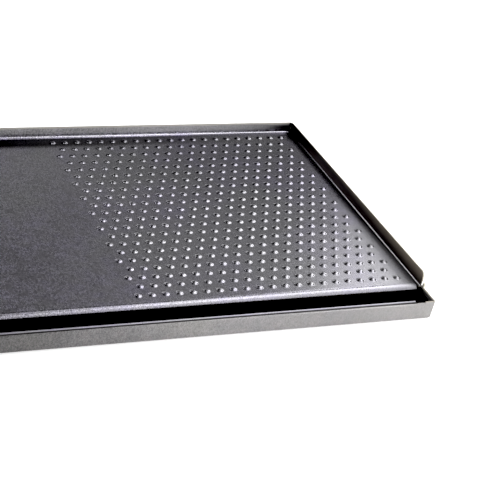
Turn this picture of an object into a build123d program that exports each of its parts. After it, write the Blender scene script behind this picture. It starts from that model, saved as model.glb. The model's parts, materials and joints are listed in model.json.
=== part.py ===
"""Bakery tray in two parts: a bumped three-sided tray that lifts out of a drip tray.

Millimetres, +Z up, +X along the front edge to the right, +Y to the back.
The origin is the middle of the drip tray's footprint, on the surface it stands on.
"""
import math
import os

from build123d import *

# Sheet metal
SHEET = 1.5
REST_GAP = 0.3

# Drip tray, outer sizes at the rim
TRAY_WIDTH = 600.0
TRAY_DEPTH = 400.0
RIM_HEIGHT = 23.2
FRONT_HEIGHT = 21.7
DRIP_FLARE = 3.0
DRIP_CORNER_RADIUS = 2.5
DRIP_BEND_RADIUS = 3.0
HEM_DEPTH = 8.0
CORNER_TAB_WIDTH = 13.0

# Lip along the front of the drip tray
LIP_END_X = 277.5
LIP_WIDTH = 5.6
LIP_DROP = 1.1
CURL_RADIUS = 1.3
CURL_HEIGHT = 20.45

# Bumped tray
BED_TOP = 24.2
BED_HALF_WIDTH = 294.7
BED_BACK = 192.8
BED_FRONT = -163.5
WALL_FLARE = 7.0
WALL_HEIGHT_BACK = 12.5
WALL_HEIGHT_FRONT = 16.0
WALL_FRONT_END = -170.6
WALL_CORNER_ROUND = 8.5
FOOT_RADIUS = 2.0
BED_CORNER_RADIUS = 1.5
NOSE_RADIUS = 8.0
NOSE_HALF_WIDTH = 292.0

# Raised bumps on the right part of the bed
BUMP_PITCH = 15.0
BUMP_ROW_PITCH = 16.5
BUMP_ROWS = 21
BUMPS_IN_LONG_ROW = 21
BUMP_LAST_X = 275.3
BUMP_FIRST_ROW_Y = 178.0
BUMP_RADIUS = 4.5
BUMP_HEIGHT = 1.8

# Rear support rail under the bumped tray
RAIL_LENGTH = 560.0
RAIL_BACK = 190.5
RAIL_TOP_FLANGE = 8.5
RAIL_FOOT_FLANGE = 12.0

# Welds and beads
WELD_RADIUS = 2.6
BEAD_RADIUS = 1.8
BEAD_HEIGHT = 6.0
BEAD_X = 298.0
BEAD_Y = -172.9

BED_UNDERSIDE = BED_TOP - SHEET
BACK_EDGE = TRAY_DEPTH / 2
SIDE_EDGE = TRAY_WIDTH / 2


def slope(degrees):
    """Sideways run of a flared wall for each millimetre of height."""
    return math.tan(math.radians(degrees))


def flared_block(width, depth, low, high, flare, corner_radius):
    """Block with rounded upright corners that widens by the flare from its low face to its high face."""
    base = Plane.XY.offset(low) * RectangleRounded(width, depth, corner_radius)
    return extrude(base, amount=high - low, taper=-flare)


def bottom_edges(solid):
    """Edges that bound the lowest face."""
    return solid.faces().sort_by(Axis.Z)[0].edges()


def profile_along_x(points, half_length):
    """Prism along X with a polygonal section given as (y, z) points."""
    section = make_face(Plane.YZ * Polyline(*points, close=True))
    return Pos(-half_length, 0, 0) * extrude(section, amount=2 * half_length, dir=(1, 0, 0))


def mirrored_pair(solid):
    """The solid and its mirror image across the middle of the tray, as two separate solids."""
    return [solid, mirror(solid, about=Plane.YZ)]


def drip_block(inset, low, high):
    """Solid block inside the drip tray's outer faces, moved in by the inset."""
    run = slope(DRIP_FLARE)
    shrink = 2 * (RIM_HEIGHT - low) * run + 2 * inset / math.cos(math.radians(DRIP_FLARE))
    radius = max(DRIP_CORNER_RADIUS - inset, 0.8)
    return flared_block(TRAY_WIDTH - shrink, TRAY_DEPTH - shrink, low, high, DRIP_FLARE, radius)


def front_lip():
    """Inward lip on the drip tray's front wall, with a curled inner edge."""
    root = -BACK_EDGE + 0.4
    tip = -BACK_EDGE + LIP_WIDTH
    web = profile_along_x(
        [
            (root, FRONT_HEIGHT),
            (tip, FRONT_HEIGHT - LIP_DROP),
            (tip, CURL_HEIGHT - 0.9 * CURL_RADIUS),
            (root, FRONT_HEIGHT - SHEET),
        ],
        LIP_END_X,
    )
    curl = Pos(0, tip, CURL_HEIGHT) * Rot(0, 90, 0) * Cylinder(CURL_RADIUS, 2 * LIP_END_X)
    return web + curl


def drip_tray():
    """Lower tray: floor, four flared walls, doubled side and rear rims, corner tabs and the front lip."""
    outer = drip_block(0, 0, RIM_HEIGHT)
    outer = fillet(bottom_edges(outer), DRIP_BEND_RADIUS)
    inner = drip_block(SHEET, SHEET, RIM_HEIGHT + 1)
    inner = fillet(bottom_edges(inner), DRIP_BEND_RADIUS - SHEET)
    tray = outer - inner

    hem_low = RIM_HEIGHT - HEM_DEPTH
    hem = drip_block(SHEET, hem_low, RIM_HEIGHT) - drip_block(2 * SHEET, hem_low - 1, RIM_HEIGHT + 1)
    front_span = 2 * (SIDE_EDGE - 2 * SHEET - 1)
    hem -= Pos(0, -BACK_EDGE, RIM_HEIGHT) * Box(front_span, 20, 4 * HEM_DEPTH)
    tray += hem

    step_width = 2 * (SIDE_EDGE - CORNER_TAB_WIDTH)
    tray -= Pos(0, -BACK_EDGE, FRONT_HEIGHT + 5) * Box(step_width, 8, 10)
    return tray + front_lip()


def drip_corner_weld(y_side):
    """Weld bead in an inside corner of the drip tray, right-hand side."""
    low = DRIP_BEND_RADIUS + 1
    high = RIM_HEIGHT - HEM_DEPTH - 1
    corner = Pos(SIDE_EDGE - 2 * SHEET, y_side * (BACK_EDGE - 2 * SHEET), (low + high) / 2)
    return drip_block(SHEET, SHEET, RIM_HEIGHT) & (corner * Cylinder(WELD_RADIUS, high - low))


def rim_bead():
    """Small round-topped bead on the right side rim."""
    post = Pos(BEAD_X, BEAD_Y, RIM_HEIGHT + BEAD_HEIGHT / 2) * Cylinder(BEAD_RADIUS, BEAD_HEIGHT)
    top_edge = post.faces().sort_by(Axis.Z)[-1].edges()
    return fillet(top_edge, BEAD_RADIUS * 0.9)


def bed_block(grow, low, high):
    """Block inside the bumped tray's walls, moved out by the given amount and open-ended to the front."""
    run = slope(WALL_FLARE)
    sideways = grow / math.cos(math.radians(WALL_FLARE)) - (BED_TOP - low) * run
    half_width = BED_HALF_WIDTH + sideways
    back = BED_BACK + sideways
    front = 2 * WALL_FRONT_END - 20
    block = flared_block(2 * half_width, back - front, low, high, WALL_FLARE, BED_CORNER_RADIUS + grow)
    return Pos(0, (back + front) / 2, 0) * block


def above_walls():
    """Wedge of space above the upstands, which rise evenly from the back to the front."""
    rise = (WALL_HEIGHT_FRONT - WALL_HEIGHT_BACK) / (BED_BACK - WALL_FRONT_END)
    over = 10.0
    back = BED_BACK + over
    front = WALL_FRONT_END - over
    low_back = BED_TOP + WALL_HEIGHT_BACK - rise * over
    low_front = BED_TOP + WALL_HEIGHT_FRONT + rise * over
    return profile_along_x([(back, low_back), (front, low_front), (front, 90), (back, 90)], 400)


def wall_end_trim():
    """Space in front of the side walls' ends, with the large round at their top corners."""
    top = BED_TOP + WALL_HEIGHT_FRONT
    over = 30.0
    block = Pos(0, WALL_FRONT_END - over + WALL_CORNER_ROUND, top - WALL_CORNER_ROUND + over)
    block = block * Box(800, 2 * over, 2 * over)
    round_centre = Pos(0, WALL_FRONT_END + WALL_CORNER_ROUND, top - WALL_CORNER_ROUND)
    block -= round_centre * Rot(0, 90, 0) * Cylinder(WALL_CORNER_ROUND, 800)
    ahead = Pos(0, WALL_FRONT_END - 100, BED_TOP) * Box(800, 200, 100)
    return block + ahead


def walled_bed():
    """Flat bed with its three flared upstands, before the front edge and the bumps."""
    top = BED_TOP + WALL_HEIGHT_FRONT + 6
    outer = bed_block(SHEET, BED_UNDERSIDE, top)
    outer = fillet(bottom_edges(outer), FOOT_RADIUS + SHEET)
    inner = bed_block(0, BED_TOP, top + 1)
    inner = fillet(bottom_edges(inner), FOOT_RADIUS)
    shell = outer - inner
    shell -= above_walls()
    shell -= wall_end_trim()
    ahead_of_bed = Pos(0, BED_FRONT - 50, BED_TOP) * Box(2 * (BED_HALF_WIDTH - FOOT_RADIUS), 100, 20)
    return shell - ahead_of_bed


def front_nose():
    """Front edge of the bed: a round bend down and the flange that stands on the drip tray's floor."""
    foot = SHEET + REST_GAP
    centre_z = BED_TOP - NOSE_RADIUS
    face_y = BED_FRONT - NOSE_RADIUS
    inner_radius = NOSE_RADIUS - SHEET
    outer_arc = CenterArc((BED_FRONT, centre_z), NOSE_RADIUS, 90, 90)
    inner_arc = CenterArc((BED_FRONT, centre_z), inner_radius, 90, 90)
    outline = [
        outer_arc,
        Line((face_y, centre_z), (face_y, foot)),
        Line((face_y, foot), (face_y + SHEET, foot)),
        Line((face_y + SHEET, foot), (face_y + SHEET, centre_z)),
        inner_arc,
        Line((BED_FRONT, BED_UNDERSIDE), (BED_FRONT, BED_TOP)),
    ]
    section = make_face(Plane.YZ * Curve(outline))
    return Pos(-NOSE_HALF_WIDTH, 0, 0) * extrude(section, amount=2 * NOSE_HALF_WIDTH, dir=(1, 0, 0))


def bump_centres():
    """Centres of the bumps: staggered rows, the odd rows one bump shorter."""
    centres = []
    for row in range(BUMP_ROWS):
        odd = row % 2
        first = BUMP_LAST_X - (BUMPS_IN_LONG_ROW - 1) * BUMP_PITCH + odd * BUMP_PITCH / 2
        y = BUMP_FIRST_ROW_Y - row * BUMP_ROW_PITCH
        centres += [(first + column * BUMP_PITCH, y) for column in range(BUMPS_IN_LONG_ROW - odd)]
    return centres


def dome(sphere_radius, base_z):
    """Part of the bump's sphere above a level, centred on the Z axis."""
    centre_z = BED_TOP + BUMP_HEIGHT - bump_sphere_radius()
    ball = Pos(0, 0, centre_z) * Sphere(sphere_radius)
    return ball & (Pos(0, 0, base_z + 10) * Box(40, 40, 20))


def bump_sphere_radius():
    """Radius of the sphere whose cap has the bump's base radius and height."""
    return (BUMP_RADIUS**2 + BUMP_HEIGHT**2) / (2 * BUMP_HEIGHT)


def bumped_tray():
    """Upper tray: one sheet with bed, upstands, front nose and hollow pressed bumps."""
    sheet = walled_bed() + front_nose()
    hollow = dome(bump_sphere_radius() - SHEET, BED_UNDERSIDE - 0.5)
    cap = dome(bump_sphere_radius(), BED_UNDERSIDE + 0.2)
    places = [Pos(x, y, 0) for x, y in bump_centres()]
    sheet = sheet.fuse(*[place * cap for place in places])
    return sheet.cut(*[place * hollow for place in places])


def bed_corner_weld():
    """Upright weld in the right rear corner of the bumped tray."""
    low = BED_TOP + FOOT_RADIUS
    high = BED_TOP + WALL_HEIGHT_BACK - 1
    corner = Pos(BED_HALF_WIDTH + 1, BED_BACK + 1, (low + high) / 2)
    return bed_block(0, BED_TOP, high + 5) & (corner * Cylinder(WELD_RADIUS, high - low))


def rear_support_rail():
    """C-shaped channel under the rear edge of the bed, standing on the drip tray's floor."""
    foot = SHEET + REST_GAP
    web_front = RAIL_BACK - SHEET
    top_front = RAIL_BACK - RAIL_TOP_FLANGE
    foot_front = RAIL_BACK - RAIL_FOOT_FLANGE
    section = [
        (RAIL_BACK, BED_UNDERSIDE),
        (top_front, BED_UNDERSIDE),
        (top_front, BED_UNDERSIDE - SHEET),
        (web_front, BED_UNDERSIDE - SHEET),
        (web_front, foot + SHEET),
        (foot_front, foot + SHEET),
        (foot_front, foot),
        (RAIL_BACK, foot),
    ]
    return profile_along_x(section, RAIL_LENGTH / 2)


def build():
    """Every node's name with its shape."""
    return {
        "drip_tray": drip_tray(),
        "drip_tray_front_welds": Compound(mirrored_pair(drip_corner_weld(-1))),
        "drip_tray_rear_welds": Compound(mirrored_pair(drip_corner_weld(1))),
        "rim_beads": Compound(mirrored_pair(rim_bead())),
        "bumped_tray": bumped_tray(),
        "bumped_tray_welds": Compound(mirrored_pair(bed_corner_weld())),
        "rear_support_rail": rear_support_rail(),
    }


os.makedirs("parts", exist_ok=True)
for node, shape in build().items():
    export_step(shape, f"parts/{node}.step")
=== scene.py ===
import json
import math
import random

import bmesh
import bpy
import numpy as np
from mathutils import Matrix, Vector


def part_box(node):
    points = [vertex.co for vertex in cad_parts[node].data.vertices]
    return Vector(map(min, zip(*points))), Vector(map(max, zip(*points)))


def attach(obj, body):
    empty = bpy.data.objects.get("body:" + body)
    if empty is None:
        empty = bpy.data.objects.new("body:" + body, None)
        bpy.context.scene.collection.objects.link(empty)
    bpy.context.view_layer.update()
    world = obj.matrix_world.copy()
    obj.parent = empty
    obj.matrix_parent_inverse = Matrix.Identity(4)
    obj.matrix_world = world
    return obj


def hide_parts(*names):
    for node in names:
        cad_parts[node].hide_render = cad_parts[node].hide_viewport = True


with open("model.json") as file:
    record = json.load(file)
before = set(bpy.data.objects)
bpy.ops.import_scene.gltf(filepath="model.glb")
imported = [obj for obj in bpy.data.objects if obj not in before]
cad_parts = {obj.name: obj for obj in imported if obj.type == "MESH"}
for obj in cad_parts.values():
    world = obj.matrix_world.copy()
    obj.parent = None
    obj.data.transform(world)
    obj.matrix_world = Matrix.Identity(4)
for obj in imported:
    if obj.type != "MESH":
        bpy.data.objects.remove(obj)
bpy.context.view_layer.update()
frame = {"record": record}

MM = 0.001


def box_mm(node):
    """Lowest and highest corner of a CAD node in millimetres."""
    low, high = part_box(node)
    return np.array(low) / MM, np.array(high) / MM


def mount_mm(name):
    """Place of one of the record's mounts in millimetres."""
    found = next(m for m in frame["record"]["mounts"] if m["name"] == name)
    return np.array(found["pos_m"]) / MM


DRIP_HIGH = box_mm("drip_tray")[1]
UPPER_LOW = box_mm("bumped_tray")[0]
RAIL_LOW, RAIL_HIGH = box_mm("rear_support_rail")
BED_TOP = mount_mm("smooth_bed")[2]

# Sheet metal
SHEET = 1.5

# Bumped tray
WALL_FLARE = math.radians(7)
WALL_HEIGHT_BACK = 12.5
WALL_HEIGHT_FRONT = 16.0
FOOT_RADIUS = 2.0
FOOT_START = -FOOT_RADIUS * math.tan((math.pi / 2 - WALL_FLARE) / 2)
BED_HALF_WIDTH = 294.7
BED_BACK = 192.8
BED_FRONT = -163.5
WALL_FRONT_END = -170.6
WALL_CORNER_ROUND = 8.5
NOSE_RADIUS = 8.0
NOSE_HALF_WIDTH = 292.0
NOSE_FOOT = UPPER_LOW[2]
# Below this height the flange under the front bend is near-black: painted shade.
SHADE_PAINTED_BELOW = 20.4
SIDE_LINE = BED_HALF_WIDTH - 1.5

# Bumps
BUMP_PITCH = 15.0
BUMP_ROW_PITCH = 16.5
BUMP_ROWS = 21
BUMPS_IN_LONG_ROW = 21
BUMP_LAST_X = 275.3
BUMP_FIRST_ROW_Y = 178.0
BUMP_HEIGHT = 1.8
BUMP_CAP_RADIUS = 5.4
BUMP_FOOT_RADIUS = 1.6
CELL_STEPS = 6

# Drip tray
HALF_WIDTH = DRIP_HIGH[0]
HALF_DEPTH = DRIP_HIGH[1]
RIM_HEIGHT = DRIP_HIGH[2]
FRONT_HEIGHT = 21.7
DRIP_FLARE = math.radians(3)
DRIP_BEND_RADIUS = 3.0
DRIP_CORNER_RADIUS = 2.5
HEM_DEPTH = 8.0
TAB_EDGE_X = 287.0
LIP_END_X = 277.5
LIP_WIDTH = 5.6
CURL_RADIUS = 1.3
CURL_HEIGHT = 20.45
LIP_UNDERSIDE = 18.8
SEAM_GROOVE = 0.1

# Smallest corner radius where a section reaches far inwards
LEAST_RADIUS = 0.8


# ---------------------------------------------------------------- mesh helpers

def arc(centre, radius, start, end, count):
    """Points on an arc in a section plane; angles in degrees."""
    angles = np.radians(np.linspace(start, end, count))
    return np.stack([centre[0] + radius * np.cos(angles), centre[1] + radius * np.sin(angles)], -1)


def grid_faces(rows, columns, base):
    """Corner numbers of the quads of a rows x columns grid of points."""
    first = np.arange(rows - 1)[:, None] * columns + np.arange(columns - 1)[None, :] + base
    return np.stack([first, first + 1, first + columns + 1, first + columns], -1).reshape(-1, 4)


def mesh_from_grids(name, grids, caps=()):
    """One welded mesh from grids of points in millimetres, and from flat caps given as outlines."""
    points, faces, base = [], [], 0
    for grid in grids:
        rows, columns, _ = grid.shape
        points.append(grid.reshape(-1, 3))
        faces += grid_faces(rows, columns, base).tolist()
        base += rows * columns
    for cap in caps:
        points.append(cap)
        faces.append(list(range(base, base + len(cap))))
        base += len(cap)
    mesh = bpy.data.meshes.new(name)
    mesh.from_pydata((np.concatenate(points) * MM).tolist(), [], faces)
    bm = bmesh.new()
    bm.from_mesh(mesh)
    bmesh.ops.remove_doubles(bm, verts=bm.verts, dist=0.004 * MM)
    bmesh.ops.recalc_face_normals(bm, faces=bm.faces)
    bm.to_mesh(mesh)
    bm.free()
    mesh.polygons.foreach_set("use_smooth", [True] * len(mesh.polygons))
    return mesh


def face_up(mesh):
    """Turns an open sheet over if more of it faces down than up."""
    if sum(p.normal.z * p.area for p in mesh.polygons) < 0:
        mesh.flip_normals()


def add_piece(name, mesh, body, node, materials):
    """Puts a mesh in the scene as a piece that rides on a body and stands for a CAD node."""
    piece = bpy.data.objects.new(name, mesh)
    bpy.context.scene.collection.objects.link(piece)
    for material in materials:
        mesh.materials.append(material)
    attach(piece, body)
    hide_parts(node)
    return piece


def give_material(mesh, number, chosen):
    """Gives a numbered material to the faces whose middle, in millimetres, is chosen."""
    for face in mesh.polygons:
        if chosen(*(face.center / MM)):
            face.material_index = number


def rolled_edges(piece, width, angle=50):
    """Rounds the sharp edges of a piece a little and evens out its shading."""
    bevel = piece.modifiers.new("edges", "BEVEL")
    bevel.width = width * MM
    bevel.segments = 2
    bevel.limit_method = "ANGLE"
    bevel.angle_limit = math.radians(angle)
    bevel.use_clamp_overlap = True
    shading = piece.modifiers.new("shading", "WEIGHTED_NORMAL")
    shading.keep_sharp = True


# ---------------------------------------------------------------- material helpers

class Nodes:
    """Short names for building a node tree."""

    def __init__(self, tree):
        self.tree = tree
        tree.nodes.clear()

    def add(self, kind, **settings):
        node = self.tree.nodes.new("ShaderNode" + kind)
        for name, value in settings.items():
            setattr(node, name, value)
        return node

    def link(self, source, target):
        self.tree.links.new(source, target)

    def noise(self, where, scale, detail=2.0, roughness=0.5):
        node = self.add("TexNoise")
        node.inputs["Scale"].default_value = scale
        node.inputs["Detail"].default_value = detail
        node.inputs["Roughness"].default_value = roughness
        self.link(where, node.inputs["Vector"])
        return node.outputs["Fac"]

    def spread(self, value, low, high, to_low=0.0, to_high=1.0, smooth=False):
        node = self.add("MapRange")
        node.interpolation_type = "SMOOTHSTEP" if smooth else "LINEAR"
        self.link(value, node.inputs["Value"])
        for name, number in zip(("From Min", "From Max", "To Min", "To Max"), (low, high, to_low, to_high)):
            node.inputs[name].default_value = number
        return node.outputs["Result"]

    def math(self, operation, first, second):
        node = self.add("Math", operation=operation)
        for socket, value in zip(node.inputs, (first, second)):
            if isinstance(value, (int, float)):
                socket.default_value = value
            else:
                self.link(value, socket)
        return node.outputs["Value"]

    def product(self, first, *others):
        for other in others:
            first = self.math("MULTIPLY", first, other)
        return first

    def axes(self, where):
        split = self.add("SeparateXYZ")
        self.link(where, split.inputs[0])
        return split.outputs["X"], split.outputs["Y"], split.outputs["Z"]

    def mix(self, share, first, second):
        node = self.add("Mix", data_type="RGBA")
        for socket, value in zip((node.inputs[0], node.inputs[6], node.inputs[7]), (share, first, second)):
            if isinstance(value, tuple):
                socket.default_value = (*value, 1.0)
            elif isinstance(value, (int, float)):
                socket.default_value = value
            else:
                self.link(value, socket)
        return node.outputs[2]


def new_material(name):
    """Empty node material, with its tree's helper, its shader and its object coordinates."""
    material = bpy.data.materials.new(name)
    material.use_nodes = True
    nodes = Nodes(material.node_tree)
    shader = nodes.add("BsdfPrincipled")
    output = nodes.add("OutputMaterial")
    nodes.link(shader.outputs["BSDF"], output.inputs["Surface"])
    where = nodes.add("TexCoord").outputs["Object"]
    return material, nodes, shader, where


def surface_bump(nodes, shader, layers):
    """Chains bump layers of (height, strength, distance in mm) into the shader's normal."""
    normal = None
    for height, strength, distance in layers:
        bump = nodes.add("Bump")
        bump.inputs["Strength"].default_value = strength
        bump.inputs["Distance"].default_value = distance * MM
        nodes.link(height, bump.inputs["Height"])
        if normal is not None:
            nodes.link(normal, bump.inputs["Normal"])
        normal = bump.outputs["Normal"]
    nodes.link(normal, shader.inputs["Normal"])


def coating_noises(nodes, where):
    """The coating's noises, from the broadest to the finest."""
    stretch = nodes.add("Mapping")
    stretch.inputs["Scale"].default_value = (1.0, 0.6, 0.8)
    nodes.link(where, stretch.inputs["Vector"])
    broad = nodes.noise(where, 9, 2.0, 0.5)
    mottle = nodes.noise(where, 22, 3.0, 0.55)
    patches = nodes.noise(where, 60, 3.0, 0.6)
    speckle = nodes.noise(stretch.outputs["Vector"], 640, 2.0, 0.8)
    grain = nodes.noise(where, 1900, 1.0, 0.6)
    return broad, mottle, patches, speckle, grain


def coating_lightness(nodes, x, noises, flecks):
    """Speckled lightness round 1; the speckle is weaker towards the right."""
    _, _, patches, speckle, grain = noises
    lightness = nodes.product(
        nodes.spread(speckle, 0.32, 0.68, 1 - flecks, 1 + flecks),
        nodes.spread(patches, 0.3, 0.7, 0.94, 1.06),
        nodes.spread(grain, 0.3, 0.7, 1 - flecks, 1 + flecks),
    )
    return nodes.math("POWER", lightness, nodes.spread(x, -0.12, 0.2, 1.0, 0.3))


def coating_roughness(nodes, x, y, noises, roughness):
    """Uneven roughness, higher in the front corners."""
    _, _, patches, speckle, _ = noises
    rough = nodes.math("ADD", nodes.spread(patches, 0.3, 0.7, roughness - 0.02, roughness + 0.02),
                       nodes.spread(speckle, 0.3, 0.7, -0.03, 0.03))
    sideward = nodes.spread(nodes.math("ABSOLUTE", x, 0.0), 0.25, 0.285, 0.0, 0.17)
    frontward = nodes.spread(y, 0.06, -0.12)
    return nodes.math("ADD", rough, nodes.product(sideward, frontward))


def back_shade_and_highlight(nodes, shader, place, lightness, back_shade):
    """Painted shadow: a dark strip along the back of the bed, darkest at its left, with a painted highlight
    on the line where the bed meets the back wall.
    """
    x, y, z = place
    front, back, left, right = back_shade
    # Painted highlight: a brighter line where the bed meets the back wall.
    rubbed = nodes.product(
        nodes.spread(y, 0.1884, 0.1893),
        nodes.spread(z, (BED_TOP + 0.7) * MM, (BED_TOP + 0.3) * MM),
        nodes.spread(x, 0.24, 0.1),
    )
    # Painted shadow: the dark strip in front of that line, which also dims its reflections.
    strip = nodes.product(
        nodes.spread(y, front, back, smooth=True),
        nodes.spread(x, right, left),
        nodes.spread(z, (BED_TOP + 0.4) * MM, (BED_TOP + 0.05) * MM),
        nodes.spread(rubbed, 0, 1, 1.0, 0.0),
    )
    darker = nodes.spread(strip, 0, 1, 1.0, 0.03)
    brighter = nodes.spread(rubbed, 0, 1, 1.0, 2.4)
    nodes.link(nodes.spread(strip, 0, 1, 1.0, 0.68), shader.inputs["Specular Tint"])
    return nodes.product(lightness, darker, brighter)


def wall_lightness(nodes, place, raised, lightness, gain):
    """Lightness of the upstands: painted light makes them paler at the left, painted shade darkens them low
    down at the right rear corner.
    """
    x, _, z = place
    # Painted shade low down at the right rear corner.
    cornered = nodes.product(raised, nodes.spread(x, 0.255, 0.292, smooth=True),
                             nodes.spread(z, 34 * MM, 31.5 * MM))
    # Painted light on the left part of the walls.
    leftward = nodes.product(raised, nodes.spread(x, 0.02, -0.16))
    return nodes.product(
        lightness,
        nodes.spread(raised, 0, 1, 1.0, gain),
        nodes.spread(cornered, 0, 1, 1.0, 0.12),
        nodes.spread(leftward, 0, 1, 1.0, 1.35),
    )


def top_wear_and_sheen(nodes, place, mottle, low, high, lean=0.0):
    """How much of the lighter top colour is mixed in, rubbed coating on the rims and painted reflection on
    the side walls: nothing below one height in millimetres, all above the other.

    With a lean, the heights drop towards the front.
    """
    _, y, z = place
    ragged = nodes.math("ADD", z, nodes.spread(mottle, 0.3, 0.7, -0.5 * MM, 0.5 * MM))
    ragged = nodes.math("ADD", ragged, nodes.product(y, -lean))
    return nodes.spread(ragged, low * MM, high * MM, smooth=True)


def coated_metal(name, tones, roughness, metallic, flecks, wall=None, wear_and_sheen=None, shade=None, back_shade=None):
    """Satin baked coating: mottled tones, fine speckle and uneven gloss.

    The tones are the dark and light of the mottle, the tint of its patches and the cast of its broad areas.
    The wall is (roughness, lightness, metallic) of the parts above the bed, which are less polished.
    The wear_and_sheen is (low, high, colour) of a lighter top, rubbed coating on the rims and painted
    reflection on the side walls, with a lean towards the front as its fourth value.
    The shade is (left, right, darkest) of a painted shade darkening one end, and the back_shade (front, back,
    left, right) of a painted shadow along the back of the bed that is darkest at its left, with a painted
    highlight behind it.
    """
    material, nodes, shader, where = new_material(name)
    dark, light, tint, cast = tones
    noises = coating_noises(nodes, where)
    broad, mottle, patches, speckle, grain = noises
    place = nodes.axes(where)
    x, y, z = place

    colour = nodes.mix(nodes.spread(mottle, 0.36, 0.64), dark, light)
    colour = nodes.mix(nodes.spread(patches, 0.42, 0.66, 0.0, 0.6), colour, tint)
    colour = nodes.mix(nodes.spread(broad, 0.44, 0.62, 0.0, 0.7), colour, cast)
    lightness = coating_lightness(nodes, x, noises, flecks)
    rough = coating_roughness(nodes, x, y, noises, roughness)
    metal = metallic
    # Painted shade: darker towards one end.
    if shade is not None:
        left, right, darkest = shade
        lightness = nodes.product(lightness, nodes.spread(x, left, right, darkest, 1.0))
    # Painted shadow and painted highlight along the back of the bed.
    if back_shade is not None:
        lightness = back_shade_and_highlight(nodes, shader, place, lightness, back_shade)
    if wall is not None:
        wall_roughness, wall_gain, wall_metallic = wall
        raised = nodes.spread(z, 26.5 * MM, 30 * MM, smooth=True)
        rough = nodes.math("ADD", rough, nodes.product(raised, wall_roughness - roughness))
        lightness = wall_lightness(nodes, place, raised, lightness, wall_gain)
        colour = nodes.mix(nodes.spread(raised, 0, 1, 0.0, 0.8), colour, (0.238, 0.235, 0.238))
        metal = nodes.spread(raised, 0, 1, metallic, wall_metallic)
    bright = nodes.add("VectorMath", operation="SCALE")
    nodes.link(colour, bright.inputs[0])
    nodes.link(lightness, bright.inputs["Scale"])
    colour = bright.outputs["Vector"]
    # Lighter top band: rubbed coating on the rims, painted reflection on the side walls.
    if wear_and_sheen is not None:
        low, high, top_colour, *lean = wear_and_sheen
        lighter_top = top_wear_and_sheen(nodes, place, mottle, low, high, *lean)
        colour = nodes.mix(lighter_top, colour, top_colour)
        metal = nodes.product(metal, nodes.spread(lighter_top, 0, 1, 1.0, 0.1))
    nodes.link(colour, shader.inputs["Base Color"])
    nodes.link(rough, shader.inputs["Roughness"])
    if metal is metallic:
        shader.inputs["Metallic"].default_value = metallic
    else:
        nodes.link(metal, shader.inputs["Metallic"])
    surface_bump(nodes, shader, [(mottle, 0.12, 0.12), (speckle, 0.1, 0.04), (grain, 0.1, 0.02)])
    return material


def worn_metal(name, dark, light, roughness):
    """Bare or rubbed metal at edges: streaked, scratched and a little uneven."""
    material, nodes, shader, where = new_material(name)
    stretch = nodes.add("Mapping")
    stretch.inputs["Scale"].default_value = (0.35, 1.0, 2.2)
    nodes.link(where, stretch.inputs["Vector"])
    streaks = nodes.noise(stretch.outputs["Vector"], 420, 4.0, 0.65)
    patches = nodes.noise(where, 90, 3.0, 0.6)
    share = nodes.product(nodes.spread(streaks, 0.3, 0.7), nodes.spread(patches, 0.25, 0.6, 0.35, 1.0))
    rough = nodes.spread(streaks, 0.3, 0.7, roughness - 0.06, roughness + 0.08)
    nodes.link(nodes.mix(share, dark, light), shader.inputs["Base Color"])
    nodes.link(rough, shader.inputs["Roughness"])
    shader.inputs["Metallic"].default_value = 0.9
    surface_bump(nodes, shader, [(patches, 0.3, 0.15), (streaks, 0.2, 0.04)])
    return material


def weld_finish(name, dark, light, metallic, roughness, fade=None):
    """Weld metal: lumpy, with darker heat marks and fine grit.

    The fade (back, front) darkens it from one place along the tray to the other, towards the back; only the
    crease's painted highlight uses it.
    """
    material, nodes, shader, where = new_material(name)
    lumps = nodes.noise(where, 700, 3.0, 0.6)
    marks = nodes.noise(where, 240, 2.0, 0.6)
    grit = nodes.noise(where, 3000, 1.0, 0.5)
    colour = nodes.mix(nodes.spread(marks, 0.35, 0.65), dark, light)
    if fade is not None:
        back, front = fade
        colour = nodes.mix(nodes.spread(nodes.axes(where)[1], back, front), (0.02, 0.018, 0.019), colour)
    rough = nodes.spread(lumps, 0.3, 0.7, roughness - 0.08, roughness + 0.1)
    nodes.link(colour, shader.inputs["Base Color"])
    nodes.link(rough, shader.inputs["Roughness"])
    shader.inputs["Metallic"].default_value = metallic
    surface_bump(nodes, shader, [(lumps, 0.5, 0.2), (grit, 0.2, 0.03)])
    return material


def pale_floor(name):
    """Matt pale paper sweep that glows a little more away from the tray."""
    material, nodes, shader, where = new_material(name)
    cloud = nodes.noise(where, 3.0, 2.0, 0.5)
    fibre = nodes.noise(where, 900, 2.0, 0.5)
    nodes.link(nodes.mix(cloud, (0.9, 0.9, 0.9), (0.93, 0.93, 0.93)), shader.inputs["Base Color"])
    shader.inputs["Roughness"].default_value = 0.9
    shader.inputs["Specular IOR Level"].default_value = 0.1
    shader.inputs["Emission Color"].default_value = (1, 1, 1, 1)
    away = nodes.add("VectorMath", operation="LENGTH")
    nodes.link(where, away.inputs[0])
    nodes.link(nodes.spread(away.outputs["Value"], 0.3, 0.9, 0.55, 1.0), shader.inputs["Emission Strength"])
    surface_bump(nodes, shader, [(fibre, 0.05, 0.02)])
    return material


# ---------------------------------------------------------------- bumped tray

def bump_profile():
    """Section of one pressed bump as (radius, height) from its outer ring to near its top."""
    slope_angle = math.acos(1 - BUMP_HEIGHT / (BUMP_CAP_RADIUS + BUMP_FOOT_RADIUS))
    foot_radius = (BUMP_CAP_RADIUS + BUMP_FOOT_RADIUS) * math.sin(slope_angle)
    foot = np.linspace(0, slope_angle, 5)
    cap = np.linspace(slope_angle, 0, 6)[1:]
    rings = [(foot_radius + 0.9, 0.0)]
    for turn in foot:
        height = BUMP_FOOT_RADIUS * (1 - math.cos(turn))
        rings.append((foot_radius - BUMP_FOOT_RADIUS * math.sin(turn), height))
    for turn in cap:
        height = BUMP_HEIGHT - BUMP_CAP_RADIUS * (1 - math.cos(turn))
        rings.append((BUMP_CAP_RADIUS * math.sin(turn), height))
    return rings


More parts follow.
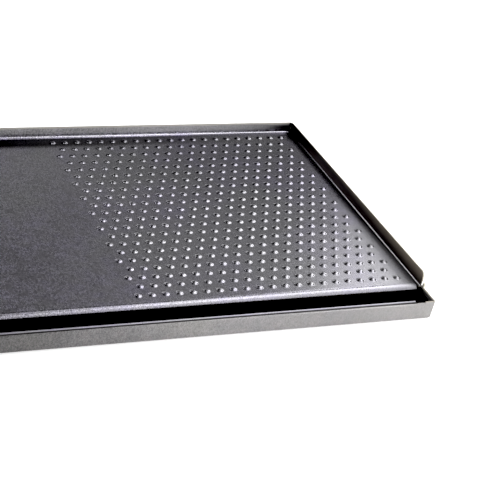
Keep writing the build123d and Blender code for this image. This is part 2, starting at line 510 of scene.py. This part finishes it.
def cell_outline():
    """Lattice points round one bump's cell, counterclockwise from its right-hand side's middle."""
    w, d, half = BUMP_PITCH / 2, BUMP_ROW_PITCH / 2, CELL_STEPS // 2
    right = [(w, d * i / half) for i in range(0, half)]
    top = [(w - 2 * w * i / CELL_STEPS, d) for i in range(CELL_STEPS)]
    left = [(-w, d - 2 * d * i / CELL_STEPS) for i in range(CELL_STEPS)]
    bottom = [(-w + 2 * w * i / CELL_STEPS, -d) for i in range(CELL_STEPS)]
    rest = [(w, -d + d * i / half) for i in range(half + 1)]
    return np.array(right + top + left + bottom + rest)


def bump_cell():
    """Grid of points of one bump with its square cell, centred on the origin."""
    outline = cell_outline()
    turns = np.radians(np.linspace(0, 360, len(outline)))
    rows = [np.column_stack([outline, np.zeros(len(outline))])]
    for radius, height in bump_profile():
        level = np.full(len(turns), height)
        rows.append(np.column_stack([radius * np.cos(turns), radius * np.sin(turns), level]))
    return np.array(rows)


def bump_rows():
    """Each row's y with its bumps' x positions; the odd rows are one bump shorter."""
    first = BUMP_LAST_X - (BUMPS_IN_LONG_ROW - 1) * BUMP_PITCH
    for row in range(BUMP_ROWS):
        odd = row % 2
        y = BUMP_FIRST_ROW_Y - row * BUMP_ROW_PITCH
        yield odd, y, [first + (column + odd / 2) * BUMP_PITCH for column in range(BUMPS_IN_LONG_ROW - odd)]


def flat_grid(xs, ys):
    """Level grid on the bed's top."""
    across, along = np.meshgrid(xs, ys)
    return np.stack([across, along, np.full(across.shape, BED_TOP)], -1)


def wall_top(y):
    """Height of a side wall above the bed at a place along it, with the round at its front end."""
    back = BED_BACK + FOOT_START
    rise = (WALL_HEIGHT_FRONT - WALL_HEIGHT_BACK) / (back - WALL_FRONT_END)
    height = WALL_HEIGHT_BACK + (back - y) * rise
    into_round = WALL_FRONT_END + WALL_CORNER_ROUND - y
    if into_round <= 0:
        return height
    drop = WALL_CORNER_ROUND - math.sqrt(max(WALL_CORNER_ROUND**2 - into_round**2, 0))
    return height - drop


def wall_section(height):
    """Section of an upstand as (outward, up) from the start of its foot bend to its top."""
    bend = np.radians(np.linspace(0, 90 - math.degrees(WALL_FLARE), 8))
    foot = np.stack([FOOT_START + FOOT_RADIUS * np.sin(bend), FOOT_RADIUS * (1 - np.cos(bend))], -1)
    low = foot[-1, 1]
    ups = low + (height - low) * np.array([0.3, 0.65, 0.93, 1.0])
    straight = np.stack([ups * math.tan(WALL_FLARE), ups], -1)
    return np.concatenate([foot, straight])


def bed_grids():
    """Everything level on the bed: the bump cells, the half cells beside them and the smooth margins."""
    half_w, half_d = BUMP_PITCH / 2, BUMP_ROW_PITCH / 2
    left = BUMP_LAST_X - (BUMPS_IN_LONG_ROW - 1) * BUMP_PITCH - half_w
    right = BUMP_LAST_X + half_w
    back = BUMP_FIRST_ROW_Y + half_d
    front = BUMP_FIRST_ROW_Y - (BUMP_ROWS - 1) * BUMP_ROW_PITCH - half_d
    side = BED_HALF_WIDTH + FOOT_START
    lattice_x = np.linspace(left, right, BUMPS_IN_LONG_ROW * CELL_STEPS + 1)
    lattice_y = np.linspace(back, front, BUMP_ROWS * CELL_STEPS + 1)
    left_x = np.concatenate([[-side, -NOSE_HALF_WIDTH], np.linspace(-275, left, 13)])
    right_x = np.array([right, 287.0, NOSE_HALF_WIDTH, side])
    back_y = np.array([BED_BACK + FOOT_START, 188.6, back])
    front_y = np.array([front, WALL_FRONT_END + WALL_CORNER_ROUND, BED_FRONT])
    all_x = np.concatenate([left_x[:-1], lattice_x, right_x[1:]])
    all_y = np.concatenate([back_y[:-1], lattice_y, front_y[1:]])

    grids = [flat_grid(all_x, back_y), flat_grid(all_x, front_y),
             flat_grid(left_x, lattice_y), flat_grid(right_x, lattice_y)]
    cell = bump_cell()
    for odd, y, xs in bump_rows():
        grids += [cell + np.array([x, y, BED_TOP]) for x in xs]
        if odd:
            rows = np.linspace(y + half_d, y - half_d, CELL_STEPS + 1)
            half = CELL_STEPS // 2
            grids.append(flat_grid(lattice_x[:half + 1], rows))
            grids.append(flat_grid(lattice_x[-half - 1:], rows))
    return grids, all_x, all_y


def wall_grids(all_x, all_y):
    """The three upstands with the turned corners between them."""
    ends = np.radians(np.linspace(20, 90, 8))
    end_y = WALL_FRONT_END + WALL_CORNER_ROUND * (1 - np.sin(ends))
    side_y = np.concatenate([all_y, end_y])
    sections = [wall_section(wall_top(y)) for y in side_y]
    side = np.array([[(BED_HALF_WIDTH + out, y, BED_TOP + up) for out, up in section]
                     for y, section in zip(side_y, sections)])
    mirror = np.array([-1, 1, 1])
    section = wall_section(WALL_HEIGHT_BACK)
    back = np.array([[(x, BED_BACK + out, BED_TOP + up) for out, up in section] for x in all_x])
    turns = np.radians(np.linspace(0, 90, 8))
    corner = np.array([[(BED_HALF_WIDTH + FOOT_START + (out - FOOT_START) * math.cos(t),
                         BED_BACK + FOOT_START + (out - FOOT_START) * math.sin(t),
                         BED_TOP + up) for out, up in section] for t in turns])
    return [side, side * mirror, back, corner, corner * mirror]


def nose_grid(all_x):
    """The front edge's round bend and the flange below it."""
    xs = [x for x in all_x if abs(x) <= NOSE_HALF_WIDTH + 1e-6]
    centre = (BED_FRONT, BED_TOP - NOSE_RADIUS)
    section = arc(centre, NOSE_RADIUS, 90, 180, 13)
    straight = [(BED_FRONT - NOSE_RADIUS, z) for z in (13.0, 8.0, 3.0, NOSE_FOOT)]
    section = np.concatenate([section, straight])
    return np.array([[(x, y, z) for y, z in section] for x in xs])


def on_side_wall(x, y, z):
    """Whether a place lies on a side wall above its foot."""
    return abs(x) > SIDE_LINE and z > BED_TOP + 1.4


def on_side_foot(x, y, z):
    """Whether a place lies in the crease between the bed and a side wall."""
    return abs(x) > SIDE_LINE and BED_TOP + 0.4 < z < BED_TOP + 1.0


def bumped_tray_piece(coat, edge, painted_shade_black, shaded_side_wall, crease):
    """The upper sheet as one bent and pressed sheet of even thickness.

    Its cut edges take the material that follows the one of the face beside them.
    """
    grids, all_x, all_y = bed_grids()
    grids += wall_grids(all_x, all_y) + [nose_grid(all_x)]
    mesh = mesh_from_grids("bumped_sheet", grids)
    face_up(mesh)
    piece = add_piece("bumped_sheet", mesh, "bumped_tray_body", "bumped_tray",
                      [coat, edge, painted_shade_black, shaded_side_wall, edge, crease])
    # Painted shade: the flange under the front bend is near-black.
    give_material(mesh, 2, lambda x, y, z: z < SHADE_PAINTED_BELOW)
    # Painted shade: both side walls take a near-black coating.
    give_material(mesh, 3, on_side_wall)
    # Painted highlight: a pale line in the crease at the foot of each side wall.
    give_material(mesh, 5, on_side_foot)
    sheet = piece.modifiers.new("sheet", "SOLIDIFY")
    sheet.thickness = (SHEET - 0.01) * MM
    sheet.offset = -1
    sheet.use_even_offset = True
    sheet.use_quality_normals = True
    sheet.material_offset_rim = 1
    rolled_edges(piece, 0.3)
    return piece


# ---------------------------------------------------------------- drip tray

def face_line(inset, z):
    """Outward place of the drip wall's face, moved in by an inset, at a height; 0 is the rim's outer edge."""
    return -inset / math.cos(DRIP_FLARE) - (RIM_HEIGHT - z) * math.tan(DRIP_FLARE)


def square_top(height):
    """Top of a plain wall with slightly rounded edges: outer edge, inner edge and three points below."""
    edge = 0.45
    outer = arc((face_line(edge, height - edge), height - edge), edge, -3, 90, 8)
    inner = arc((face_line(SHEET - edge, height - edge), height - edge), edge, 90, 180, 8)
    below = [(face_line(SHEET, z), z) for z in (height - 1.0, height - 1.5, height - 2.0, height - 2.4)]
    return np.concatenate([outer, inner, below])


def hem_top():
    """Top of a doubled rim: one round fold as wide as two sheets."""
    return arc((face_line(SHEET, RIM_HEIGHT - SHEET), RIM_HEIGHT - SHEET), SHEET, -3, 183, 20)


def lip_top():
    """Top of the front wall: bend, sloping lip, curled edge and the way back under it."""
    bend_radius = 1.5
    bend = arc((face_line(bend_radius, FRONT_HEIGHT), FRONT_HEIGHT - bend_radius), bend_radius, -3, 107, 6)
    valley = [(-LIP_WIDTH + 1.5, 20.82)]
    curl = arc((-LIP_WIDTH, CURL_HEIGHT), CURL_RADIUS, 20, 322, 11)
    under = [(-LIP_WIDTH + 1.9, 19.62), (face_line(SHEET, 20.0) - 0.3, 19.9)]
    return np.concatenate([bend, valley, curl, under])


def drip_section(kind, groove=0.0):
    """Section of the drip tray's wall as (outward, z), from under the floor over the top to the floor.

    The groove pushes its outer face in.
    """
    bend_centre = (face_line(DRIP_BEND_RADIUS, DRIP_BEND_RADIUS), DRIP_BEND_RADIUS)
    outer_bend = arc(bend_centre, DRIP_BEND_RADIUS, -90, -3, 8)
    inner_bend = arc(bend_centre, DRIP_BEND_RADIUS - SHEET, -3, -90, 5)
    outer_face = np.array([(face_line(0, z), z) for z in (8.0, 15.0)])
    tops = {
        "hem": hem_top,
        "tab": lambda: square_top(RIM_HEIGHT),
        "wall": lambda: square_top(FRONT_HEIGHT),
        "lip": lip_top,
    }
    hem_low = RIM_HEIGHT - HEM_DEPTH
    depth = 2 * SHEET if kind == "hem" else SHEET
    inner_face = np.array([
        (face_line(depth, 18.5), 18.5),
        (face_line(depth, hem_low + 0.5), hem_low + 0.5),
        (face_line(depth - 0.3, hem_low) if kind == "hem" else face_line(SHEET, hem_low), hem_low),
        (face_line(SHEET, hem_low - 0.05), hem_low - 0.05),
        (face_line(SHEET, 9.0), 9.0),
    ])
    outer = np.concatenate([outer_bend, outer_face, tops[kind]()])
    above_bend, below_top = 2, 18
    outer[above_bend:below_top, 0] -= groove
    return np.concatenate([outer, inner_face, inner_bend])


def straight_place(side, along):
    """Gives the plan position for an outward offset at a place along one straight side."""
    places = {
        "front": lambda out: (along, -HALF_DEPTH - out),
        "back": lambda out: (along, HALF_DEPTH + out),
        "right": lambda out: (HALF_WIDTH + out, along),
        "left": lambda out: (-HALF_WIDTH - out, along),
    }
    return places[side]


def corner_place(sign_x, sign_y, turn):
    """Gives the plan position for an outward offset at a turn round one corner."""
    def place(out):
        radius = max(DRIP_CORNER_RADIUS + out, LEAST_RADIUS)
        x = HALF_WIDTH + out - radius * (1 - math.cos(turn))
        y = HALF_DEPTH + out - radius * (1 - math.sin(turn))
        return sign_x * x, sign_y * y
    return place


def drip_stations():
    """Every station round the drip tray as (place, section), counterclockwise from the front's middle."""
    hem, tab, wall, lip = (drip_section(kind) for kind in ("hem", "tab", "wall", "lip"))
    seam = drip_section("tab", SEAM_GROOVE)
    quarter = np.radians(np.linspace(0, 90, 8))
    half_front = [(x, lip) for x in np.linspace(0, LIP_END_X, 9)]
    half_front += [(LIP_END_X + 0.05, wall), (282.0, wall), (TAB_EDGE_X - 0.2, wall), (TAB_EDGE_X, seam),
                   (TAB_EDGE_X + 0.2, tab), (291.5, tab)]
    stations = [(straight_place("front", x), section) for x, section in half_front]
    for turn in quarter[::-1]:
        share = turn / quarter[-1]
        stations.append((corner_place(1, -1, turn), tab * share + hem * (1 - share)))
    stations += [(straight_place("right", y), hem) for y in np.linspace(-188, 188, 12)]
    stations += [(corner_place(1, 1, turn), hem) for turn in quarter]
    stations += [(straight_place("back", x), hem) for x in np.linspace(288, -288, 17)]
    stations += [(corner_place(-1, 1, turn), hem) for turn in quarter[::-1]]
    stations += [(straight_place("left", y), hem) for y in np.linspace(188, -188, 12)]
    for turn in quarter:
        share = turn / quarter[-1]
        stations.append((corner_place(-1, -1, turn), tab * share + hem * (1 - share)))
    stations += [(straight_place("front", -x), section) for x, section in half_front[::-1]]
    return stations


def inside_drip_tray(x, y, z):
    """Whether a place lies on the drip tray's inner faces, below its rims and its lip."""
    skin = face_line(SHEET - 0.4, z)
    return abs(x) < HALF_WIDTH + skin and abs(y) < HALF_DEPTH + skin and 1.0 < z < 19.8


def on_lip(x, y, z):
    """Whether a place lies on the front lip or its curl, inside the face's top bend."""
    return abs(x) < LIP_END_X + 0.1 and -HALF_DEPTH + 0.7 < y < -HALF_DEPTH + 12 and z > LIP_UNDERSIDE


def on_curl(x, y, z):
    """Whether a place lies on the curled edge of the front lip."""
    return on_lip(x, y, z) and y > -HALF_DEPTH + LIP_WIDTH - 1.35


def drip_tray_piece(coat, painted_shade_black, lip_coat):
    """The lower tray as one closed skin: floor, walls, rims and the front lip."""
    grid = np.array([[(*place(out), z) for out, z in section] for place, section in drip_stations()])
    mesh = mesh_from_grids("drip_sheet", [grid], caps=[grid[:-1, 0], grid[:-1, -1]])
    mesh.set_sharp_from_angle(angle=math.radians(40))
    piece = add_piece("drip_sheet", mesh, "drip_tray_body", "drip_tray",
                      [coat, painted_shade_black, lip_coat])
    # Painted shade: the drip tray's inner faces and its front lip are near-black.
    give_material(mesh, 1, inside_drip_tray)
    give_material(mesh, 1, on_lip)
    give_material(mesh, 2, on_curl)
    shading = piece.modifiers.new("shading", "WEIGHTED_NORMAL")
    shading.keep_sharp = True
    return piece


# ---------------------------------------------------------------- welds, beads and rail

def weld_rings(corner, sign_x, sign_y, low, high, leg):
    """Rippled fillet of weld metal up an inside corner; corner(z) gives the corner's x and y."""
    rings = []
    heights = np.linspace(low, high, 4 * int(high - low) + 1)
    for z in heights:
        share = (z - low) / (high - low)
        swell = math.sin(math.pi * min(max(share, 0.04), 0.96)) ** 0.25
        size = leg * swell * (1 + 0.09 * abs(math.sin(math.pi * z / 1.4)))
        x, y = corner(z)
        bow = [(-0.5, 0.5 + size), (-0.15, size), (0.24 * size, 0.62 * size), (0.4 * size, 0.4 * size),
               (0.62 * size, 0.24 * size), (size, -0.15), (0.5 + size, -0.5), (-0.5, -0.5)]
        rings.append([(x - sign_x * a, y - sign_y * b, z) for a, b in bow + bow[:1]])
    return np.array(rings)


def weld_piece(name, grids, body, node, material):
    """A pair of welds as one piece, with closed ends."""
    caps = [end for grid in grids for end in (grid[0, :-1], grid[-1, :-1])]
    mesh = mesh_from_grids(name, grids, caps)
    piece = add_piece(name, mesh, body, node, [material])
    mesh.set_sharp_from_angle(angle=math.radians(60))
    return piece


def drip_weld_pair(sign_y):
    """Welds in both inside corners of the drip tray at its front or its back."""
    node_low, node_high = box_mm("drip_tray_front_welds")

    low, high = node_low[2] + 0.1, node_high[2] - 0.1

    def corner(sign_x):
        def at_height(z):
            inner = face_line(SHEET, z)
            return sign_x * (HALF_WIDTH + inner), sign_y * (HALF_DEPTH + inner)
        return at_height
    return [weld_rings(corner(side), side, sign_y, low, high, 2.1) for side in (1, -1)]


def bed_weld_pair():
    """Welds up both rear corners of the bumped tray."""
    node_low, node_high = box_mm("bumped_tray_welds")
    low, high = node_low[2] + 0.1, node_high[2] - 0.1

    def corner(sign_x):
        def at_height(z):
            out = (z - BED_TOP) * math.tan(WALL_FLARE)
            return sign_x * (BED_HALF_WIDTH + out), BED_BACK + out
        return at_height
    return [weld_rings(corner(side), side, 1, low, high, 1.7) for side in (1, -1)]


def bead_grid(sign_x, seed):
    """One lumpy round-topped bead on a side rim."""
    low, high = box_mm("rim_beads")
    radius = (high[1] - low[1]) / 2
    x = sign_x * (high[0] - radius)
    y = (low[1] + high[1]) / 2
    top, bottom = high[2], low[2] - 0.6
    shaft = 0.45
    random.seed(seed)
    lobes = [(random.uniform(0.02, 0.06), random.randint(2, 4), random.uniform(0, 6.28)) for _ in range(3)]
    rings = []
    for share in np.linspace(0, 1, 15):
        if share < shaft:
            z, size = bottom + (top - radius - bottom) * share / shaft, 1.0
        else:
            turn = (share - shaft) / (1 - shaft) * math.pi / 2
            z, size = top - radius + radius * math.sin(turn), math.cos(turn)
        ring = []
        for turn in np.radians(np.linspace(0, 360, 21)):
            wave = 1 - sum(a * (1 + math.sin(n * turn + p + z * 1.3)) / 2 for a, n, p in lobes)
            reach = radius * size * wave
            ring.append((x + reach * math.cos(turn), y + reach * math.sin(turn), z))
        rings.append(ring)
    return np.array(rings)


def rim_bead_piece(material):
    """The two small beads on the drip tray's side rims."""
    grids = [bead_grid(1, 3), bead_grid(-1, 8)]
    mesh = mesh_from_grids("rim_bead_pair", grids, [grid[0, :-1] for grid in grids])
    return add_piece("rim_bead_pair", mesh, "drip_tray_body", "rim_beads", [material])


def rail_section():
    """Outline of the folded rear rail as (y, z), with rounded bends."""
    foot, top = RAIL_LOW[2], RAIL_HIGH[2]
    back, front = RAIL_HIGH[1], RAIL_LOW[1]
    top_front = back - 8.5
    outer, inner = 2.2, 2.2 - SHEET
    parts = [
        arc((back - outer, top - outer), outer, 0, 90, 6),
        [(top_front, top), (top_front, top - SHEET)],
        arc((back - outer, top - outer), inner, 90, 0, 6),
        arc((back - outer, foot + outer), inner, 0, -90, 6),
        [(front, foot + SHEET), (front, foot)],
        arc((back - outer, foot + outer), outer, -90, 0, 6),
    ]
    return np.concatenate([np.array(p, float) for p in parts])


def rail_piece(coat):
    """The folded rail under the rear edge of the bed."""
    section = rail_section()
    closed = np.concatenate([section, section[:1]])
    xs = np.linspace(RAIL_LOW[0], RAIL_HIGH[0], 15)
    grid = np.array([[(x, y, z) for y, z in closed] for x in xs])
    mesh = mesh_from_grids("rear_rail", [grid], [grid[0, :-1], grid[-1, :-1]])
    piece = add_piece("rear_rail", mesh, "bumped_tray_body", "rear_support_rail", [coat])
    rolled_edges(piece, 0.2, 60)
    return piece


# ---------------------------------------------------------------- stage

def direction(azimuth, elevation):
    """Unit vector: azimuth 0 is towards +Y and 90 towards +X, in degrees."""
    a, e = math.radians(azimuth), math.radians(elevation)
    return Vector((math.sin(a) * math.cos(e), math.cos(a) * math.cos(e), math.sin(e)))


def sky_patch(nodes, azimuth, elevation, azimuths, elevations, strength):
    """Part of the surroundings between two azimuths and two elevations in degrees, with soft borders."""
    soft = 2.5
    share = strength
    for angle, (low, high) in ((azimuth, azimuths), (elevation, elevations)):
        middle, half = (low + high) / 2, (high - low) / 2
        away = nodes.math("ABSOLUTE", nodes.math("SUBTRACT", angle, math.radians(middle)), 0.0)
        inside = nodes.spread(away, math.radians(half + soft), math.radians(half - soft))
        share = nodes.math("MULTIPLY", inside, share)
    return share


def surroundings():
    """Dim studio with soft bright patches, each given by its azimuths, its elevations and its strength."""
    world = bpy.data.worlds.new("studio")
    bpy.context.scene.world = world
    world.use_nodes = True
    nodes = Nodes(world.node_tree)
    x, y, z = nodes.axes(nodes.add("TexCoord").outputs["Generated"])
    azimuth = nodes.math("ARCTAN2", x, y)
    elevation = nodes.math("ARCSINE", z, 0.0)
    patches = [
        ((-20, 60), (-5, 9), 3.3),
        ((-20, 20), (9, 28), 1.4),
        ((20, 60), (28, 50), 1.1),
        ((130, 230), (-5, 9), 2.1),
        ((-50, -28), (0, 20), 4.0),
        ((118, 163), (26, 68), 3.2),
    ]
    total = 0.03
    for patch in patches:
        total = nodes.math("ADD", sky_patch(nodes, azimuth, elevation, *patch), total)
    background = nodes.add("Background")
    nodes.link(total, background.inputs["Strength"])
    output = nodes.add("OutputWorld")
    nodes.link(background.outputs["Background"], output.inputs["Surface"])


def softbox(name, place, facing, size, radiance):
    """Rectangular soft light at a place, facing a direction; its power follows from its radiance."""
    data = bpy.data.lights.new(name, "AREA")
    data.shape = "RECTANGLE"
    data.size, data.size_y = size
    data.energy = radiance * math.pi * size[0] * size[1]
    light = bpy.data.objects.new(name, data)
    bpy.context.scene.collection.objects.link(light)
    light.location = place
    light.rotation_euler = Vector(facing).to_track_quat("-Z", "Y").to_euler()
    light.visible_camera = False


def lights():
    """Softboxes close to the tray: a wall of them at the right, three overhead and three small ones."""
    leftward, downward = (-1, 0, -1e-4), (0, 1e-4, -1)
    right_wall = [
        ("right_high_front", -0.235, 0.7, (0.25, 0.6), 5.0),
        ("right_high", 0.015, 0.7, (0.25, 0.6), 7.1),
        ("right_low", 0.265, 0.2, (0.25, 0.4), 6.3),
        ("right_back_low", 0.49, 0.25, (0.2, 0.5), 1.24),
        ("right_back_high", 0.49, 0.75, (0.2, 0.5), 4.6),
        ("right_top", 0.0, 1.2, (0.8, 0.4), 3.0),
    ]
    for name, y, z, size, radiance in right_wall:
        softbox(name, (0.66, y, z), leftward, size, radiance)
    overhead = [("over_front_right", 0.47, -0.425, 4.5), ("over_right", 0.47, -0.075, 3.5),
                ("over_middle", 0.09, -0.075, 1.5)]
    for name, x, y, radiance in overhead:
        softbox(name, (x, y, 1.1), downward, (0.38, 0.35), radiance)
    softbox("left_kicker", (-0.14, 0.16, 0.35), (0.19, -0.16, -0.35), (0.09, 0.09), 5.9)
    softbox("low_front_right", (0.62, -0.6, 0.07), (-0.52, 0.4, -0.05), (0.5, 0.12), 12.0)
    softbox("low_front", (0.38, -0.75, 0.08), (-0.15, 0.5, -0.04), (0.35, 0.12), 4.0)


def floor_piece():
    """Large level floor just under the tray."""
    mesh = bpy.data.meshes.new("floor")
    bm = bmesh.new()
    bmesh.ops.create_grid(bm, x_segments=24, y_segments=24, size=40)
    bm.to_mesh(mesh)
    bm.free()
    floor = bpy.data.objects.new("floor", mesh)
    floor.location.z = -0.0001
    bpy.context.scene.collection.objects.link(floor)
    mesh.materials.append(pale_floor("floor_paper"))


def camera():
    """Camera at the photograph's viewpoint, turned a little about its own axis."""
    place = (-0.4994, -1.2705, 0.8029)
    azimuth, elevation, roll = 27.178, -29.680, math.radians(11.149)
    data = bpy.data.cameras.new("camera")
    data.lens = 107.29
    data.sensor_width = 36.0
    data.clip_end = 200
    view = bpy.data.objects.new("camera", data)
    bpy.context.scene.collection.objects.link(view)
    forward = direction(azimuth, elevation)
    level = forward.cross(Vector((0, 0, 1))).normalized()
    upright = level.cross(forward)
    right = level * math.cos(roll) + upright * math.sin(roll)
    up = upright * math.cos(roll) - level * math.sin(roll)
    turn = Matrix((right, up, -forward)).transposed()
    view.matrix_world = Matrix.Translation(place) @ turn.to_4x4()
    bpy.context.scene.camera = view


def tone_curve():
    """Plain display with slightly deepened blacks."""
    view = bpy.context.scene.view_settings
    view.view_transform = "Standard"
    view.use_curve_mapping = True
    view.curve_mapping.black_level = (0.012, 0.012, 0.012)
    view.curve_mapping.update()


def coatings():
    """The baked coatings: bumped tray, drip tray and curled lip, and the near-black painted shade of the
    inner faces and the side walls.
    """
    violet_black = [(0.192, 0.186, 0.209), (0.22, 0.212, 0.239), (0.2, 0.19, 0.245), (0.2, 0.2, 0.206)]
    iron_black = [(0.226, 0.222, 0.225), (0.262, 0.257, 0.262), (0.257, 0.24, 0.242), (0.258, 0.252, 0.244)]
    # Near-black tones for the drip tray's inside, its lip and the bent flange: painted shade.
    shade_black_tones = [(0.006, 0.0055, 0.005), (0.012, 0.011, 0.01), (0.009, 0.008, 0.007), (0.008, 0.007, 0.007)]
    # Near-black side walls: painted shade; their lighter brownish top, stronger towards the front, is painted
    # reflection.
    side_wall_shade = [(0.03, 0.022, 0.023), (0.045, 0.036, 0.038), (0.04, 0.03, 0.026), (0.035, 0.027, 0.029)]
    grey_rub, brown_rub, umber_sheen = (0.44, 0.42, 0.38), (0.3, 0.27, 0.225), (0.42, 0.36, 0.29)
    # The bumped tray's coating carries a painted shadow and a painted highlight along the back of the bed.
    coat = coated_metal("bumped_tray_coating", violet_black, 0.26, 1.0, 0.52, wall=(0.36, 1.2, 0.95),
                        wear_and_sheen=(34.0, 36.0, grey_rub), back_shade=(0.163, 0.174, -0.09, 0.5))
    # The drip tray's coating is darker towards its left end: painted shade.
    drip_coat = coated_metal("drip_tray_coating", iron_black, 0.42, 0.6, 0.38,
                             wear_and_sheen=(22.4, 23.1, brown_rub), shade=(-0.2, 0.04, 0.42))
    lip_coat = coated_metal("lip_coating", violet_black, 0.3, 1.0, 0.16)
    painted_shade_black = coated_metal("painted_shade_inside", shade_black_tones, 0.5, 1.0, 0.3)
    shaded_side_wall = coated_metal("side_wall_coating", side_wall_shade, 0.42, 0.9, 0.4, wear_and_sheen=(31, 46, umber_sheen, 0.035))
    return coat, drip_coat, lip_coat, painted_shade_black, shaded_side_wall


def main():
    """Builds the pieces, the stage and the camera."""
    coat, drip_coat, lip_coat, painted_shade_black, shaded_side_wall = coatings()
    # Pale metal for the crease at the side walls' foot: painted highlight, fading towards the back.
    crease = weld_finish("crease_painted_highlight", (0.7, 0.69, 0.72), (0.95, 0.94, 0.96), 0.6, 0.36, (0.14, -0.06))
    edge = worn_metal("rubbed_edge", (0.12, 0.11, 0.09), (0.34, 0.31, 0.25), 0.42)
    weld = weld_finish("weld_metal", (0.35, 0.33, 0.3), (0.75, 0.72, 0.66), 0.9, 0.4)
    pale = weld_finish("pale_bead", (0.5, 0.47, 0.38), (0.85, 0.82, 0.72), 0.2, 0.45)
    coated = weld_finish("coated_weld", (0.68, 0.62, 0.55), (0.88, 0.82, 0.74), 0.1, 0.45)

    bumped_tray_piece(coat, edge, painted_shade_black, shaded_side_wall, crease)
    drip_tray_piece(drip_coat, painted_shade_black, lip_coat)
    weld_piece("front_corner_welds", drip_weld_pair(-1), "drip_tray_body",
               "drip_tray_front_welds", weld)
    weld_piece("rear_corner_welds", drip_weld_pair(1), "drip_tray_body",
               "drip_tray_rear_welds", weld)
    weld_piece("bed_corner_welds", bed_weld_pair(), "bumped_tray_body",
               "bumped_tray_welds", coated)
    rim_bead_piece(pale)
    rail_piece(drip_coat)

    floor_piece()
    surroundings()
    lights()
    camera()
    tone_curve()


main()
